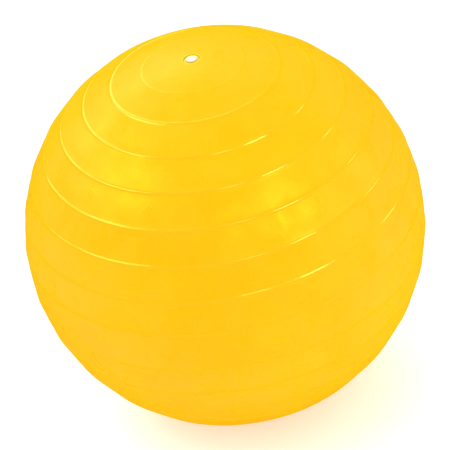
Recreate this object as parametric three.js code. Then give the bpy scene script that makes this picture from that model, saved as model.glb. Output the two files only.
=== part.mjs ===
import * as THREE from 'three';

// An inflatable exercise ball standing on a floor, in millimetres with +Z up. The origin is the middle
// of the flat that the ball's weight presses into its underside. The air valve is at the top, and
// every piece is turned about the vertical axis through both.

const degree = Math.PI / 180;

// Ball
const ballRadius = 225;
const wallThickness = 1.2;
const footRadius = 28;
const ballSides = 48;
const chamberSteps = 32;

// Ribs: rings moulded into the wall, placed by their angle from the valve. The nearest rib to the valve
// is shallower, and so is its twin in the lower half.
const firstRibAngle = 14.5 * degree;
const ribSpacing = 9.9 * degree;
const ribsPerHalf = 8;
const ribWidth = 5.6;
const ribHeight = 0.75;
const nearestRibHeight = 0.2;

// Valve seat: a moulded tube whose collar stands in the ball's hole and whose flange is bonded inside
const gap = 0.3;
const valveSides = 32;
const holeRadius = 9;
const holeEdge = 0.3;
const collarDepth = 0.9;
const flangeRadius = 16;
const flangeThickness = 1.6;
const flangeFillet = 1;
const tubeRadius = 6.4;
const tubeLength = 20;
const boreMouthRadius = 4.2;
const boreEndRadius = 3.6;
const boreChamfer = 0.6;

// Air plug: a domed head that rests on the collar, and a tapered stem with sealing rings
const headRadius = 6.25;
const headEdge = 0.9;
const headDome = 0.6;
const headRounding = 0.3;
const domeShares = [0.94, 0.7, 0.4, 0];
const stemLength = 19.5;
const stemInset = 0.75;
const tipInset = 1.3;
const ringCount = 3;
const firstRingHeight = 3;
const ringSpacing = 5;
const ringWidth = 1.8;
const ringCrest = 0.9;

const centreHeight = Math.sqrt(ballRadius ** 2 - footRadius ** 2);
const topHeight = centreHeight + ballRadius;
const collarHeight = topHeight - collarDepth;
const chamberRadius = ballRadius - wallThickness;

function point(radius, height) {
  return new THREE.Vector2(radius, height);
}

// A point of a sphere about the ball's centre, at an angle down from the valve.
function atAngle(sphereRadius, angle) {
  return point(sphereRadius * Math.sin(angle), centreHeight + sphereRadius * Math.cos(angle));
}

// A point of the same sphere's upper half, at a distance out from the axis.
function atDistance(sphereRadius, distance) {
  return point(distance, centreHeight + Math.sqrt(sphereRadius ** 2 - distance ** 2));
}

// Every rib's angle and height, from the foot up to the valve.
function ribs() {
  const upper = Array.from({ length: ribsPerHalf }, (_, k) => ({
    angle: firstRibAngle + k * ribSpacing,
    height: k === 0 ? nearestRibHeight : ribHeight,
  }));
  const lower = upper.map(({ angle, height }) => ({ angle: Math.PI - angle, height }));
  return [...lower, ...upper.reverse()];
}

// The outside of the ball, from the middle of its foot up to the edge of the valve hole. The points
// between ribs keep the wall round.
function outerWall() {
  const halfWidth = ribWidth / 2 / ballRadius;
  const rings = ribs();
  const points = [point(0, 0), point(footRadius, 0)];
  for (const [k, { angle, height }] of rings.entries()) {
    const next = rings[k + 1]?.angle ?? 0;
    points.push(
      atAngle(ballRadius, angle + halfWidth),
      atAngle(ballRadius + height, angle),
      atAngle(ballRadius, angle - halfWidth),
      atAngle(ballRadius, (angle + next) / 2),
    );
  }
  const edge = atDistance(ballRadius, holeRadius + holeEdge);
  return [...points, edge, point(holeRadius, edge.y - holeEdge)];
}

// The inside of the ball, from the valve hole down to the middle of its foot. Even steps start where
// the valve seat's flange ends, so that the wall above the flange keeps its distance from it.
function innerWall() {
  const flangeAngle = Math.asin(flangeRadius / chamberRadius);
  const footAngle = Math.acos((wallThickness - centreHeight) / chamberRadius);
  const step = (footAngle - flangeAngle) / chamberSteps;
  const points = Array.from({ length: chamberSteps + 1 }, (_, k) =>
    atAngle(chamberRadius, flangeAngle + k * step),
  );
  return [atDistance(chamberRadius, holeRadius), ...points, point(0, wallThickness)];
}

function ballShellProfile() {
  return [...outerWall(), ...innerWall()];
}

// The flange's upper side follows the curve of the ball's inner wall.
function valveSeatProfile() {
  const collarRadius = holeRadius - gap;
  const bondRadius = chamberRadius - gap;
  const flangeEdge = atDistance(bondRadius, flangeRadius);
  const flangeBottom = flangeEdge.y - flangeThickness;
  const tubeEnd = collarHeight - tubeLength;
  const mouth = point(boreMouthRadius, collarHeight - boreChamfer);
  return [
    mouth,
    point(boreEndRadius, tubeEnd),
    point(tubeRadius, tubeEnd),
    point(tubeRadius, flangeBottom - flangeFillet),
    point(tubeRadius + flangeFillet, flangeBottom),
    point(flangeRadius, flangeBottom),
    flangeEdge,
    atDistance(bondRadius, (collarRadius + flangeRadius) / 2),
    atDistance(bondRadius, collarRadius),
    point(collarRadius, collarHeight),
    point(boreMouthRadius + boreChamfer, collarHeight),
    mouth,
  ];
}

function boreRadiusAt(height) {
  const depth = (collarHeight - boreChamfer - height) / (tubeLength - boreChamfer);
  return THREE.MathUtils.lerp(boreMouthRadius, boreEndRadius, THREE.MathUtils.clamp(depth, 0, 1));
}

// The stem follows the bore's taper, and each sealing ring stands out to the bore less the gap.
function stemPoints(tipHeight) {
  const onStem = (height) => point(boreRadiusAt(height) - stemInset, height);
  const onRing = (height) => point(boreRadiusAt(height) - gap, height);
  const points = [point(boreRadiusAt(tipHeight) - tipInset, tipHeight)];
  for (let k = 0; k < ringCount; k += 1) {
    const middle = tipHeight + firstRingHeight + k * ringSpacing;
    points.push(
      onStem(middle - ringWidth / 2),
      onRing(middle - ringCrest / 2),
      onRing(middle + ringCrest / 2),
      onStem(middle + ringWidth / 2),
    );
  }
  return points;
}

// The head's dome is given at shares of the head's radius, from near its edge to the middle.
function headPoints(baseHeight) {
  const edgeHeight = baseHeight + headEdge;
  const domeAt = (share) => point(headRadius * share, edgeHeight + headDome * (1 - share ** 2));
  return [
    point(boreRadiusAt(baseHeight) - stemInset, baseHeight),
    point(headRadius - headRounding, baseHeight),
    point(headRadius, baseHeight + headRounding),
    point(headRadius, edgeHeight - headRounding),
    ...domeShares.map(domeAt),
  ];
}

function airPlugProfile() {
  const tipHeight = collarHeight - stemLength;
  return [point(0, tipHeight), ...stemPoints(tipHeight), ...headPoints(collarHeight + gap)];
}

function yellowVinyl() {
  return new THREE.MeshStandardMaterial({ color: '#ffcf1c', roughness: 0.34, metalness: 0 });
}

function seatVinyl() {
  return new THREE.MeshStandardMaterial({ color: '#f2bd16', roughness: 0.42, metalness: 0 });
}

function whitePlastic() {
  return new THREE.MeshStandardMaterial({ color: '#f7f5ee', roughness: 0.45, metalness: 0 });
}

// A mesh turned about +Z from a profile of distances from the axis and heights.
function turned(name, profile, sides, material) {
  const geometry = new THREE.LatheGeometry(profile, sides);
  geometry.rotateX(Math.PI / 2);
  const mesh = new THREE.Mesh(geometry, material);
  mesh.name = name;
  return mesh;
}

const ball = new THREE.Group();
ball.add(
  turned('ball_shell', ballShellProfile(), ballSides, yellowVinyl()),
  turned('valve_seat', valveSeatProfile(), valveSides, seatVinyl()),
);

const plug = new THREE.Group();
plug.add(turned('air_plug', airPlugProfile(), valveSides, whitePlastic()));

const group = new THREE.Group();
group.add(ball, plug);

export default group;
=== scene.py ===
import math

import bpy
from mathutils import Matrix, Vector, noise


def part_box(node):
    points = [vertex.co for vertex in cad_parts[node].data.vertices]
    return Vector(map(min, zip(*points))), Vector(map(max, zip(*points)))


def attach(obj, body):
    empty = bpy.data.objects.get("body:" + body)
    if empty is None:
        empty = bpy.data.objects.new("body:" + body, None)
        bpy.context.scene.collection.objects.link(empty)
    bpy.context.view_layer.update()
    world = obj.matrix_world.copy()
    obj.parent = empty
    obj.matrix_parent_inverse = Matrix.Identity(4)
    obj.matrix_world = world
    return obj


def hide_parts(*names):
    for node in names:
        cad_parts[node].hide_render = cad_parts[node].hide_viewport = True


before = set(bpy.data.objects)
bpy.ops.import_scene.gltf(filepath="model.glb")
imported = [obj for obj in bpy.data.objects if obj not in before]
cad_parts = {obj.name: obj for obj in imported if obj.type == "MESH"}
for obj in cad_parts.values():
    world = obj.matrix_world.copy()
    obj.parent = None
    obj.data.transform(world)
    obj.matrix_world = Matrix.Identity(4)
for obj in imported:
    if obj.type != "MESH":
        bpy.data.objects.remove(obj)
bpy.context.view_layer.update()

# An inflatable exercise ball standing on a pale floor, in metres. The ball, its valve seat and its plug
# are each turned about the vertical axis through the origin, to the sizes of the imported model's boxes.

MM = 0.001

# The ball's wall
SHELL_LOW, SHELL_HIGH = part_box("ball_shell")
BALL_RADIUS = (SHELL_HIGH.x - SHELL_LOW.x) / 2
WALL = 1.2 * MM
BALL_SIDES = 256
INNER_STEPS = 36

# The flat foot that the ball rests on, with a soft bend round it
FLOOR_HEIGHT = SHELL_LOW.z
FOOT_RADIUS = 28 * MM
FOOT_ROUNDING = 9 * MM
FOOT_ANGLE = math.asin((FOOT_RADIUS + FOOT_ROUNDING) / BALL_RADIUS)
FOOT_STEPS = 8
CENTRE_HEIGHT = FLOOR_HEIGHT + math.sqrt(BALL_RADIUS**2 - FOOT_RADIUS**2)

# The valve hole, and how far out the wall round it has painted shade
HOLE_RADIUS = 9 * MM
HOLE_EDGE = 0.45 * MM
HOLE_EDGE_STEPS = 5
HOLE_SHADE_REACH = 1.6 * MM
HOLE_SHADE_STEPS = 3

# The moulded ribs: angle from the valve in radians, and height. The nearest to the valve and its twin are
# shallower.
NEAREST_RIB, RIB_SPACING, UPPER_RIB_COUNT = math.radians(14.5), math.radians(9.9), 8
RIB_HALF_ANGLE = 2.8 * MM / BALL_RADIUS
RIB_HEIGHT = 0.75 * MM
NEAREST_RIB_HEIGHT = 0.2 * MM
UPPER_RIBS = [
    (NEAREST_RIB + RIB_SPACING * k, RIB_HEIGHT if k else NEAREST_RIB_HEIGHT) for k in range(UPPER_RIB_COUNT)
]
RIBS = UPPER_RIBS + [(math.pi - angle, height) for angle, height in reversed(UPPER_RIBS)]
RIB_STEPS = 12
PLAIN_STEPS = 6

# The wall's slight unevenness: sizes of its swells and how far they stand out
SWELLS = ((0.062, 0.16 * MM), (0.027, 0.07 * MM))
SWELL_MARGIN = 0.03

# The valve seat: a tube with a narrowing bore, and a flange bonded under the wall
SEAT_LOW, SEAT_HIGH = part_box("valve_seat")
GAP = 0.3 * MM
MOUTH_RADIUS = 4.2 * MM
MOUTH_BEVEL = 0.6 * MM
BORE_END_RADIUS = 3.6 * MM
TUBE_RADIUS = 6.4 * MM
FLANGE_THICKNESS = 1.6 * MM
VALVE_SIDES = 96

# The plug: a stem with sealing rings, and a domed head. The rings are placed up from the stem's tip, and
# the dome's shares are of the head's radius.
PLUG_LOW, PLUG_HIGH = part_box("air_plug")
TIP_INSET = 1.3 * MM
STEM_INSET = 0.75 * MM
RING_COUNT = 3
FIRST_RING, RING_SPACING = 3 * MM, 5 * MM
RING_HALF_CREST = 0.4 * MM
RING_HALF_BASE = 0.95 * MM
HEAD_EDGE = 0.9 * MM
DOME_SHARES = (0.94, 0.85, 0.7, 0.55, 0.4, 0.2, 0)

# Radians of arc to each step of a rounded corner
CORNER_STEP = 0.3

# The studio's panels
FILL_DISTANCE = 3.0
FILL_SIZE = (2.4, 2.0)
WINDOW_DISTANCE = 2.2
WINDOW_COLOUR = (1.0, 0.92, 0.5)


def profile_arc(centre, radius, start, end, steps):
    """Points of an arc in the (distance from the axis, height) plane, between two angles in radians."""
    turns = [start + (end - start) * k / steps for k in range(steps + 1)]
    return [(centre[0] + radius * math.cos(t), centre[1] + radius * math.sin(t)) for t in turns]


def rounded(corners, closed=False):
    """An outline of (x, y, rounding radius) corners, with an arc for each whose radius isn't 0."""
    points = []
    count = len(corners)
    for k, (x, y, radius) in enumerate(corners):
        if radius == 0 or (not closed and k in (0, count - 1)):
            points.append((x, y))
            continue
        here = Vector((x, y))
        before = (Vector(corners[k - 1][:2]) - here).normalized()
        after = (Vector(corners[(k + 1) % count][:2]) - here).normalized()
        half = before.angle(after) / 2
        reach = radius / math.tan(half)
        centre = here + (before + after).normalized() * (radius / math.sin(half))
        first = here + before * reach - centre
        last = here + after * reach - centre
        sweep = first.angle_signed(last)
        steps = max(3, round(abs(sweep) / CORNER_STEP))
        for step in range(steps + 1):
            turned = Matrix.Rotation(-sweep * step / steps, 2) @ first
            points.append((centre.x + turned.x, centre.y + turned.y))
    return points


def turned_mesh(name, profile, sides, closed=False):
    """A mesh made by turning a profile about the vertical axis. It has no openings where the profile is
    closed or runs from the axis back to it. A point on the axis becomes one vertex."""
    vertices, rings = [], []
    for distance, height in profile:
        if distance < 1e-9:
            rings.append([len(vertices)] * sides)
            vertices.append((0.0, 0.0, height))
            continue
        first = len(vertices)
        for k in range(sides):
            angle = math.tau * k / sides
            vertices.append((distance * math.cos(angle), distance * math.sin(angle), height))
        rings.append(list(range(first, first + sides)))
    pairs = list(zip(rings, rings[1:]))
    if closed:
        pairs.append((rings[-1], rings[0]))
    faces = []
    for lower, upper in pairs:
        for k in range(sides):
            after = (k + 1) % sides
            face = dict.fromkeys((lower[k], lower[after], upper[after], upper[k]))
            faces.append(list(face))
    mesh = bpy.data.meshes.new(name)
    mesh.from_pydata(vertices, [], faces)
    mesh.validate()
    mesh.shade_smooth()
    return mesh


def add_piece(name, mesh, material, body, node):
    """A shown piece that stands for a CAD node and rides on its body."""
    piece = bpy.data.objects.new(name, mesh)
    bpy.context.scene.collection.objects.link(piece)
    mesh.materials.append(material)
    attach(piece, body)
    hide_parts(node)


# Shapes


def rib_rise(angle):
    """How far the outer wall stands out at an angle from the valve: a smooth rounded bead at each rib."""
    for rib, height in RIBS:
        across = (angle - rib) / RIB_HALF_ANGLE
        if abs(across) < 1:
            return height * (1 - across**2) ** 2
    return 0.0


def on_ball(angle, radius):
    """A profile point at an angle from the valve and a distance from the ball's centre."""
    return radius * math.sin(angle), CENTRE_HEIGHT + radius * math.cos(angle)


def outer_angles():
    """Angles down the outer wall, from the valve hole to the foot, close together over each rib."""
    hole = math.asin((HOLE_RADIUS + HOLE_EDGE) / BALL_RADIUS)
    foot = math.pi - FOOT_ANGLE
    hole_shade_reach = HOLE_SHADE_REACH / BALL_RADIUS
    angles = [hole + hole_shade_reach * k / HOLE_SHADE_STEPS for k in range(HOLE_SHADE_STEPS)]
    plain_start = hole + hole_shade_reach
    for rib, _ in RIBS:
        plain_end = rib - RIB_HALF_ANGLE
        angles += [plain_start + (plain_end - plain_start) * k / PLAIN_STEPS for k in range(PLAIN_STEPS)]
        angles += [plain_end + 2 * RIB_HALF_ANGLE * k / RIB_STEPS for k in range(RIB_STEPS)]
        plain_start = rib + RIB_HALF_ANGLE
    angles += [plain_start + (foot - plain_start) * k / PLAIN_STEPS for k in range(PLAIN_STEPS + 1)]
    return angles


def foot_profile():
    """The contact patch and the soft bend round it, from the ball's side in to the axis."""
    outer, bend_top = on_ball(math.pi - FOOT_ANGLE, BALL_RADIUS)
    inner = FOOT_RADIUS - FOOT_ROUNDING
    points = []
    for k in range(1, FOOT_STEPS + 1):
        share = 1 - k / FOOT_STEPS
        lift = (bend_top - FLOOR_HEIGHT) * share**2 * (3 - 2 * share)
        lift += math.tan(FOOT_ANGLE) * (outer - inner) * share**2 * (share - 1)
        points.append((inner + (outer - inner) * share, FLOOR_HEIGHT + max(lift, 0)))
    return points + [(inner / 2, FLOOR_HEIGHT), (0, FLOOR_HEIGHT)]


def ball_profile():
    """The wall's profile: up its inner face from the axis, over the hole's edge, and down to the foot."""
    outer = [on_ball(angle, BALL_RADIUS + rib_rise(angle)) for angle in outer_angles()]
    inside = BALL_RADIUS - WALL
    inner_foot = math.pi - math.acos((CENTRE_HEIGHT - FLOOR_HEIGHT - WALL) / inside)
    hole = math.asin(HOLE_RADIUS / inside)
    turns = [hole + (inner_foot - hole) * k / INNER_STEPS for k in range(INNER_STEPS + 1)]
    inner = [on_ball(angle, inside) for angle in reversed(turns)]
    edge_centre = (HOLE_RADIUS + HOLE_EDGE, outer[0][1] - HOLE_EDGE)
    lip = profile_arc(edge_centre, HOLE_EDGE, math.pi, math.pi / 2, HOLE_EDGE_STEPS)
    return [(0, FLOOR_HEIGHT + WALL)] + inner + lip[:-1] + outer + foot_profile()


def mark(mesh, name, share_at):
    """Keeps a share from 0 to 1 at each vertex, for the material."""
    shares = [share_at(vertex.co) for vertex in mesh.vertices]
    mesh.attributes.new(name, "FLOAT", "POINT").data.foreach_set("value", shares)


def rib_share(place):
    """How far a place stands up a rib."""
    out = math.hypot(place.x, place.y)
    return rib_rise(math.atan2(out, place.z - CENTRE_HEIGHT)) / RIB_HEIGHT


def hole_shade_share(place):
    """Painted shade: 1 on the edge of the valve hole, fading to 0 on the wall round it."""
    if place.z < CENTRE_HEIGHT:
        return 0.0
    past_edge = math.hypot(place.x, place.y) - HOLE_RADIUS - HOLE_EDGE
    return max(0.0, min(1.0, 1 - past_edge / HOLE_SHADE_REACH))


def swell(mesh):
    """Raises and lowers the wall by a fraction of a millimetre, as moulding leaves it, and less towards
    the foot and the valve hole, which stay as they are."""
    for vertex in mesh.vertices:
        place = vertex.co.copy()
        out = place - Vector((0, 0, CENTRE_HEIGHT))
        from_foot = (place.z - FLOOR_HEIGHT) / SWELL_MARGIN
        from_hole = (math.hypot(place.x, place.y) - HOLE_RADIUS) / SWELL_MARGIN
        if place.z < CENTRE_HEIGHT:
            from_hole = 1
        share = max(0.0, min(1.0, from_foot, from_hole))
        rise = sum(height * noise.noise(place / size) for size, height in SWELLS)
        vertex.co += out.normalized() * rise * share


def seat_profile():
    """The seat's profile, round from its mouth by the bore, the tube, the flange and the collar."""
    collar = HOLE_RADIUS - GAP
    bond = BALL_RADIUS - WALL - GAP
    flange = SEAT_HIGH.x

    def under_wall(distance):
        return CENTRE_HEIGHT + math.sqrt(bond**2 - distance**2)

    underside = under_wall(flange) - FLANGE_THICKNESS
    top, end = SEAT_HIGH.z, SEAT_LOW.z
    return rounded(
        [
            (MOUTH_RADIUS + MOUTH_BEVEL, top, 0.25 * MM),
            (MOUTH_RADIUS, top - MOUTH_BEVEL, 0.4 * MM),
            (BORE_END_RADIUS, end, 0.3 * MM),
            (TUBE_RADIUS, end, 0.5 * MM),
            (TUBE_RADIUS, underside, 1.2 * MM),
            (flange, underside, 0.6 * MM),
            (flange, under_wall(flange), 0.4 * MM),
            (collar, under_wall(collar), 0.3 * MM),
            (collar, top, 0.3 * MM),
        ],
        closed=True,
    )


def bore_radius(height):
    """The radius of the seat's bore, which narrows from its mouth down to its end."""
    mouth = SEAT_HIGH.z - MOUTH_BEVEL
    depth = (mouth - height) / (mouth - SEAT_LOW.z)
    return MOUTH_RADIUS + (BORE_END_RADIUS - MOUTH_RADIUS) * max(0.0, min(1.0, depth))


def plug_profile():
    """The plug's profile: up the stem over its rings, out under the head, and over the dome to the axis."""
    head, tip = PLUG_HIGH.x, PLUG_LOW.z
    base = SEAT_HIGH.z + GAP
    edge = base + HEAD_EDGE
    corners = [(0, tip, 0), (bore_radius(tip) - TIP_INSET, tip, 0.5 * MM)]
    for k in range(RING_COUNT):
        middle = tip + FIRST_RING + k * RING_SPACING
        stem, ring = bore_radius(middle) - STEM_INSET, bore_radius(middle) - GAP
        corners += [
            (stem, middle - RING_HALF_BASE, 0.3 * MM),
            (ring, middle - RING_HALF_CREST, 0.25 * MM),
            (ring, middle + RING_HALF_CREST, 0.25 * MM),
            (stem, middle + RING_HALF_BASE, 0.3 * MM),
        ]
    corners += [
        (bore_radius(base) - STEM_INSET, base, 0.3 * MM),
        (head, base, 0.25 * MM),
        (head, edge, 0.35 * MM),
    ]
    rise = PLUG_HIGH.z - edge
    dome = [(head * share, edge + rise * (1 - share**2)) for share in DOME_SHARES]
    return rounded(corners + [(*dome[0], 0)]) + dome[1:]


# Materials


class Nodes:
    """A material's node tree, built a node at a time."""

    def __init__(self, name):
        self.material = bpy.data.materials.new(name)
        self.material.use_nodes = True
        self.tree = self.material.node_tree
        self.shader = self.tree.nodes["Principled BSDF"]
        self.place = self.add("ShaderNodeTexCoord").outputs["Object"]

    def add(self, kind, **values):
        node = self.tree.nodes.new(kind)
        for key, value in values.items():
            setattr(node, key, value)
        return node

    def link(self, output, node, socket):
        self.tree.links.new(output, node.inputs[socket])

    def feed(self, **sockets):
        """Gives the shader's sockets fixed values or other nodes' outputs. A socket's name is written with
        an underscore for each space."""
        for name, value in sockets.items():
            socket = self.shader.inputs[name.replace("_", " ")]
            if isinstance(value, bpy.types.NodeSocket):
                self.tree.links.new(value, socket)
            else:
                socket.default_value = value

    def noise(self, scale, detail=2.0, roughness=0.5, distortion=0.0):
        """A noise value from 0 to 1. The scale is in cycles per metre."""
        node = self.add("ShaderNodeTexNoise")
        self.link(self.place, node, "Vector")
        node.inputs["Scale"].default_value = scale
        node.inputs["Detail"].default_value = detail
        node.inputs["Roughness"].default_value = roughness
        node.inputs["Distortion"].default_value = distortion
        return node.outputs["Fac"]

    def share(self, name):
        """A share that is kept on the mesh."""
        return self.add("ShaderNodeAttribute", attribute_name=name).outputs["Fac"]

    def spread(self, value, low, high, to_low, to_high):
        """The value's range from low to high, mapped to another range and clamped."""
        node = self.add("ShaderNodeMapRange", clamp=True)
        self.link(value, node, "Value")
        node.inputs["From Min"].default_value = low
        node.inputs["From Max"].default_value = high
        node.inputs["To Min"].default_value = to_low
        node.inputs["To Max"].default_value = to_high
        return node.outputs["Result"]

    def mix_colours(self, share, first, second):
        """The first colour, which may be a node's output, going over to the second as the share grows."""
        node = self.add("ShaderNodeMix", data_type="RGBA")
        self.link(share, node, "Factor")
        if isinstance(first, tuple):
            node.inputs[6].default_value = (*first, 1)
        else:
            self.link(first, node, 6)
        node.inputs[7].default_value = (*second, 1)
        return node.outputs[2]

    def mix_values(self, share, first, second):
        """A node's output, going over to a fixed value as the share grows."""
        node = self.add("ShaderNodeMix", data_type="FLOAT")
        self.link(share, node, 0)
        self.link(first, node, 2)
        node.inputs[3].default_value = second
        return node.outputs[0]

    def multiply(self, first, second):
        node = self.add("ShaderNodeMath", operation="MULTIPLY")
        self.link(first, node, 0)
        self.link(second, node, 1)
        return node.outputs[0]

    def bump(self, height, distance, under=None):
        """A normal for relief of a depth in metres, on top of the relief under it."""
        node = self.add("ShaderNodeBump")
        self.link(height, node, "Height")
        node.inputs["Distance"].default_value = distance
        if under is not None:
            self.link(under, node, "Normal")
        return node.outputs["Normal"]


def ball_vinyl():
    """Yellow vinyl under a patchy film. The gloss fades where the wall turns away from the viewer. The ribs
    are polished, with their colour painted a little lighter, and the edge of the valve hole has painted
    shade."""
    nodes = Nodes("ball_vinyl")
    polish_and_painted_light = nodes.spread(nodes.share("rib"), 0.1, 0.4, 0, 1)

    cloud = nodes.spread(nodes.noise(9, detail=3, distortion=0.6), 0.35, 0.65, 0, 1)
    mottle = nodes.spread(nodes.noise(70, detail=3), 0.45, 0.72, 0, 0.25)
    colour = nodes.mix_colours(cloud, (0.955, 0.402, 0.003), (0.97, 0.424, 0.004))
    colour = nodes.mix_colours(mottle, colour, (0.975, 0.438, 0.005))
    # Painted light: the ribs' colour is a little lighter, to offset the shade that their stronger gloss
    # leaves on them
    colour = nodes.mix_colours(polish_and_painted_light, colour, (1.0, 0.43, 0.004))
    # Painted shade: the wall darkens to olive at the edge of the valve hole, standing in for the shade in
    # the groove round the plug
    colour = nodes.mix_colours(nodes.share("hole_shade"), colour, (0.7, 0.51, 0.009))

    smear = nodes.spread(nodes.noise(26, detail=5, roughness=0.62), 0.36, 0.64, 0.22, 0.42)
    film = nodes.spread(nodes.noise(34, detail=4, roughness=0.55), 0.34, 0.66, 0.22, 0.7)
    facing = nodes.add("ShaderNodeLayerWeight").outputs["Facing"]
    gloss = nodes.multiply(film, nodes.spread(facing, 0.06, 0.74, 1, 0.07))

    grain = nodes.bump(nodes.noise(1400, detail=1), 0.012 * MM)
    pitted = nodes.bump(nodes.noise(260, detail=2), 0.02 * MM, grain)
    nodes.feed(
        Base_Color=colour,
        Roughness=nodes.mix_values(polish_and_painted_light, smear, 0.14),
        Specular_IOR_Level=nodes.mix_values(polish_and_painted_light, gloss, 0.9),
        Specular_Tint=nodes.mix_colours(polish_and_painted_light, (1.0, 0.9, 0.09), (1.0, 0.93, 0.4)),
        IOR=1.7,
        Normal=nodes.bump(nodes.noise(48, detail=3), 0.55 * MM, pitted),
    )
    return nodes.material


def seat_vinyl():
    nodes = Nodes("seat_vinyl")
    cloud = nodes.noise(240, detail=3)
    nodes.feed(
        # Painted shade: the seat is a darker olive than the ball, standing in for the shade in the groove
        # round the plug
        Base_Color=nodes.mix_colours(cloud, (0.65, 0.475, 0.007), (0.73, 0.53, 0.01)),
        Roughness=nodes.spread(cloud, 0.3, 0.7, 0.35, 0.5),
        Normal=nodes.bump(nodes.noise(1800, detail=2), 0.02 * MM),
    )
    return nodes.material


def plug_plastic():
    nodes = Nodes("plug_plastic")
    cloud = nodes.noise(320, detail=3)
    nodes.feed(
        Base_Color=nodes.mix_colours(cloud, (0.6, 0.58, 0.46), (0.66, 0.64, 0.52)),
        Roughness=nodes.spread(cloud, 0.3, 0.7, 0.3, 0.46),
        Normal=nodes.bump(nodes.noise(2200, detail=2), 0.015 * MM),
        Subsurface_Weight=0.25,
        Subsurface_Radius=(1.0, 0.9, 0.7),
        Subsurface_Scale=1.2 * MM,
    )
    return nodes.material


def pale_floor():
    nodes = Nodes("pale_floor")
    nodes.feed(
        Base_Color=(0.96, 0.96, 0.96, 1),
        Roughness=0.9,
        Specular_IOR_Level=0.0,
        Emission_Color=(1, 1, 1, 1),
        Emission_Strength=0.26,
    )
    return nodes.material


# Studio


def direction(azimuth, elevation):
    """A unit vector from the ball, for angles in degrees. Azimuth 0 is the camera's side, and azimuth 90
    the picture's right."""
    turn, lift = math.radians(azimuth), math.radians(elevation)
    return Vector((math.sin(turn) * math.cos(lift), -math.cos(turn) * math.cos(lift), math.sin(lift)))


def add_facing_ball(thing, azimuth, elevation, distance):
    """Adds a camera or lamp to the scene, upright and facing the ball's centre from a distance."""
    towards = direction(azimuth, elevation)
    thing.location = Vector((0, 0, CENTRE_HEIGHT)) + towards * distance
    thing.rotation_mode = "QUATERNION"
    thing.rotation_quaternion = (-towards).to_track_quat("-Z", "Y")
    bpy.context.scene.collection.objects.link(thing)


def add_camera():
    """A camera that looks down at the ball from far off, rolled so that the valve leans to the left."""
    elevation, roll = 36, math.radians(11.4)
    half_field_tangent = 0.09405
    lens = bpy.data.cameras.new("camera")
    lens.sensor_width = 36
    lens.lens = lens.sensor_width / 2 / half_field_tangent
    lens.clip_start, lens.clip_end = 0.05, 100
    camera = bpy.data.objects.new("camera", lens)
    add_facing_ball(camera, 0, elevation, 12 * BALL_RADIUS)
    upright = camera.rotation_quaternion.copy()
    camera.rotation_quaternion = upright @ Matrix.Rotation(-roll, 3, "Z").to_quaternion()
    bpy.context.scene.camera = camera


def add_panel(name, azimuth, elevation, distance, size, power):
    """A soft rectangular light that the camera doesn't see."""
    light = bpy.data.lights.new(name, "AREA")
    light.shape = "RECTANGLE"
    light.size, light.size_y = size
    light.energy = power
    panel = bpy.data.objects.new(name, light)
    panel.visible_camera = False
    add_facing_ball(panel, azimuth, elevation, distance)
    return panel


def add_fill(name, azimuth, elevation, power):
    """A panel that brightens surfaces and isn't mirrored in them."""
    fill = add_panel(name, azimuth, elevation, FILL_DISTANCE, FILL_SIZE, power)
    fill.visible_glossy = False


def add_window(name, azimuth, elevation, size, power):
    """A panel that is only mirrored in surfaces."""
    window = add_panel(name, azimuth, elevation, WINDOW_DISTANCE, size, power)
    window.visible_diffuse = False
    window.data.color = WINDOW_COLOUR


def add_lights():
    add_fill("roof_fill", -70, 68, 33)
    add_fill("right_fill", 68, 4, 32)
    add_fill("back_fill", 180, 45, 28)
    add_fill("left_fill", -110, 16, 3.5)
    add_window("left_window", -84, 42, (1.4, 1.0), 15.5)
    add_window("far_left_window", -118, 30, (1.3, 0.8), 4.8)
    add_window("back_left_window", -152, 36, (2.0, 1.3), 12)
    add_window("bright_window", -160, 36, (0.8, 0.6), 1.6)
    add_window("front_window", 10, 34, (0.5, 0.7), 3)
    add_window("right_window", 43, 31, (0.56, 0.76), 11.5)
    add_window("side_window", 94.5, 15, (0.4, 0.6), 3)


def light_world():
    """Even white light on every surface, a white background, and a warm room to see in reflections."""
    world = bpy.data.worlds.new("studio")
    world.use_nodes = True
    tree = world.node_tree
    path = tree.nodes.new("ShaderNodeLightPath")
    reflected = tree.nodes.new("ShaderNodeMix")
    shown = tree.nodes.new("ShaderNodeMix")
    for mix, ray in ((reflected, "Is Glossy Ray"), (shown, "Is Camera Ray")):
        mix.data_type = "RGBA"
        tree.links.new(path.outputs[ray], mix.inputs["Factor"])
    reflected.inputs[6].default_value = (1.04, 1.04, 1.04, 1)
    reflected.inputs[7].default_value = (0.8, 0.47, 0.0, 1)
    tree.links.new(reflected.outputs[2], shown.inputs[6])
    shown.inputs[7].default_value = (1, 1, 1, 1)
    tree.links.new(shown.outputs[2], tree.nodes["Background"].inputs["Color"])
    world.cycles.sampling_method = "NONE"
    bpy.context.scene.world = world


def add_floor():
    reach = 12
    mesh = bpy.data.meshes.new("floor")
    corners = [(x * reach, y * reach, FLOOR_HEIGHT) for x, y in ((-1, -1), (1, -1), (1, 1), (-1, 1))]
    mesh.from_pydata(corners, [], [(0, 1, 2, 3)])
    mesh.materials.append(pale_floor())
    floor = bpy.data.objects.new("floor", mesh)
    bpy.context.scene.collection.objects.link(floor)
    floor.visible_glossy = False


def show_plain_colours():
    settings = bpy.context.scene.view_settings
    settings.view_transform = "Standard"
    settings.look = "None"


add_camera()
light_world()
add_lights()
add_floor()
show_plain_colours()

skin = turned_mesh("ball_skin", ball_profile(), BALL_SIDES)
mark(skin, "rib", rib_share)
# A share of painted shade at the edge of the valve hole
mark(skin, "hole_shade", hole_shade_share)
swell(skin)
add_piece("ball_skin", skin, ball_vinyl(), "ball", "ball_shell")
seat = turned_mesh("valve_collar", seat_profile(), VALVE_SIDES, closed=True)
add_piece("valve_collar", seat, seat_vinyl(), "ball", "valve_seat")
plug = turned_mesh("ribbed_plug", plug_profile(), VALVE_SIDES)
add_piece("ribbed_plug", plug, plug_plastic(), "plug", "air_plug")
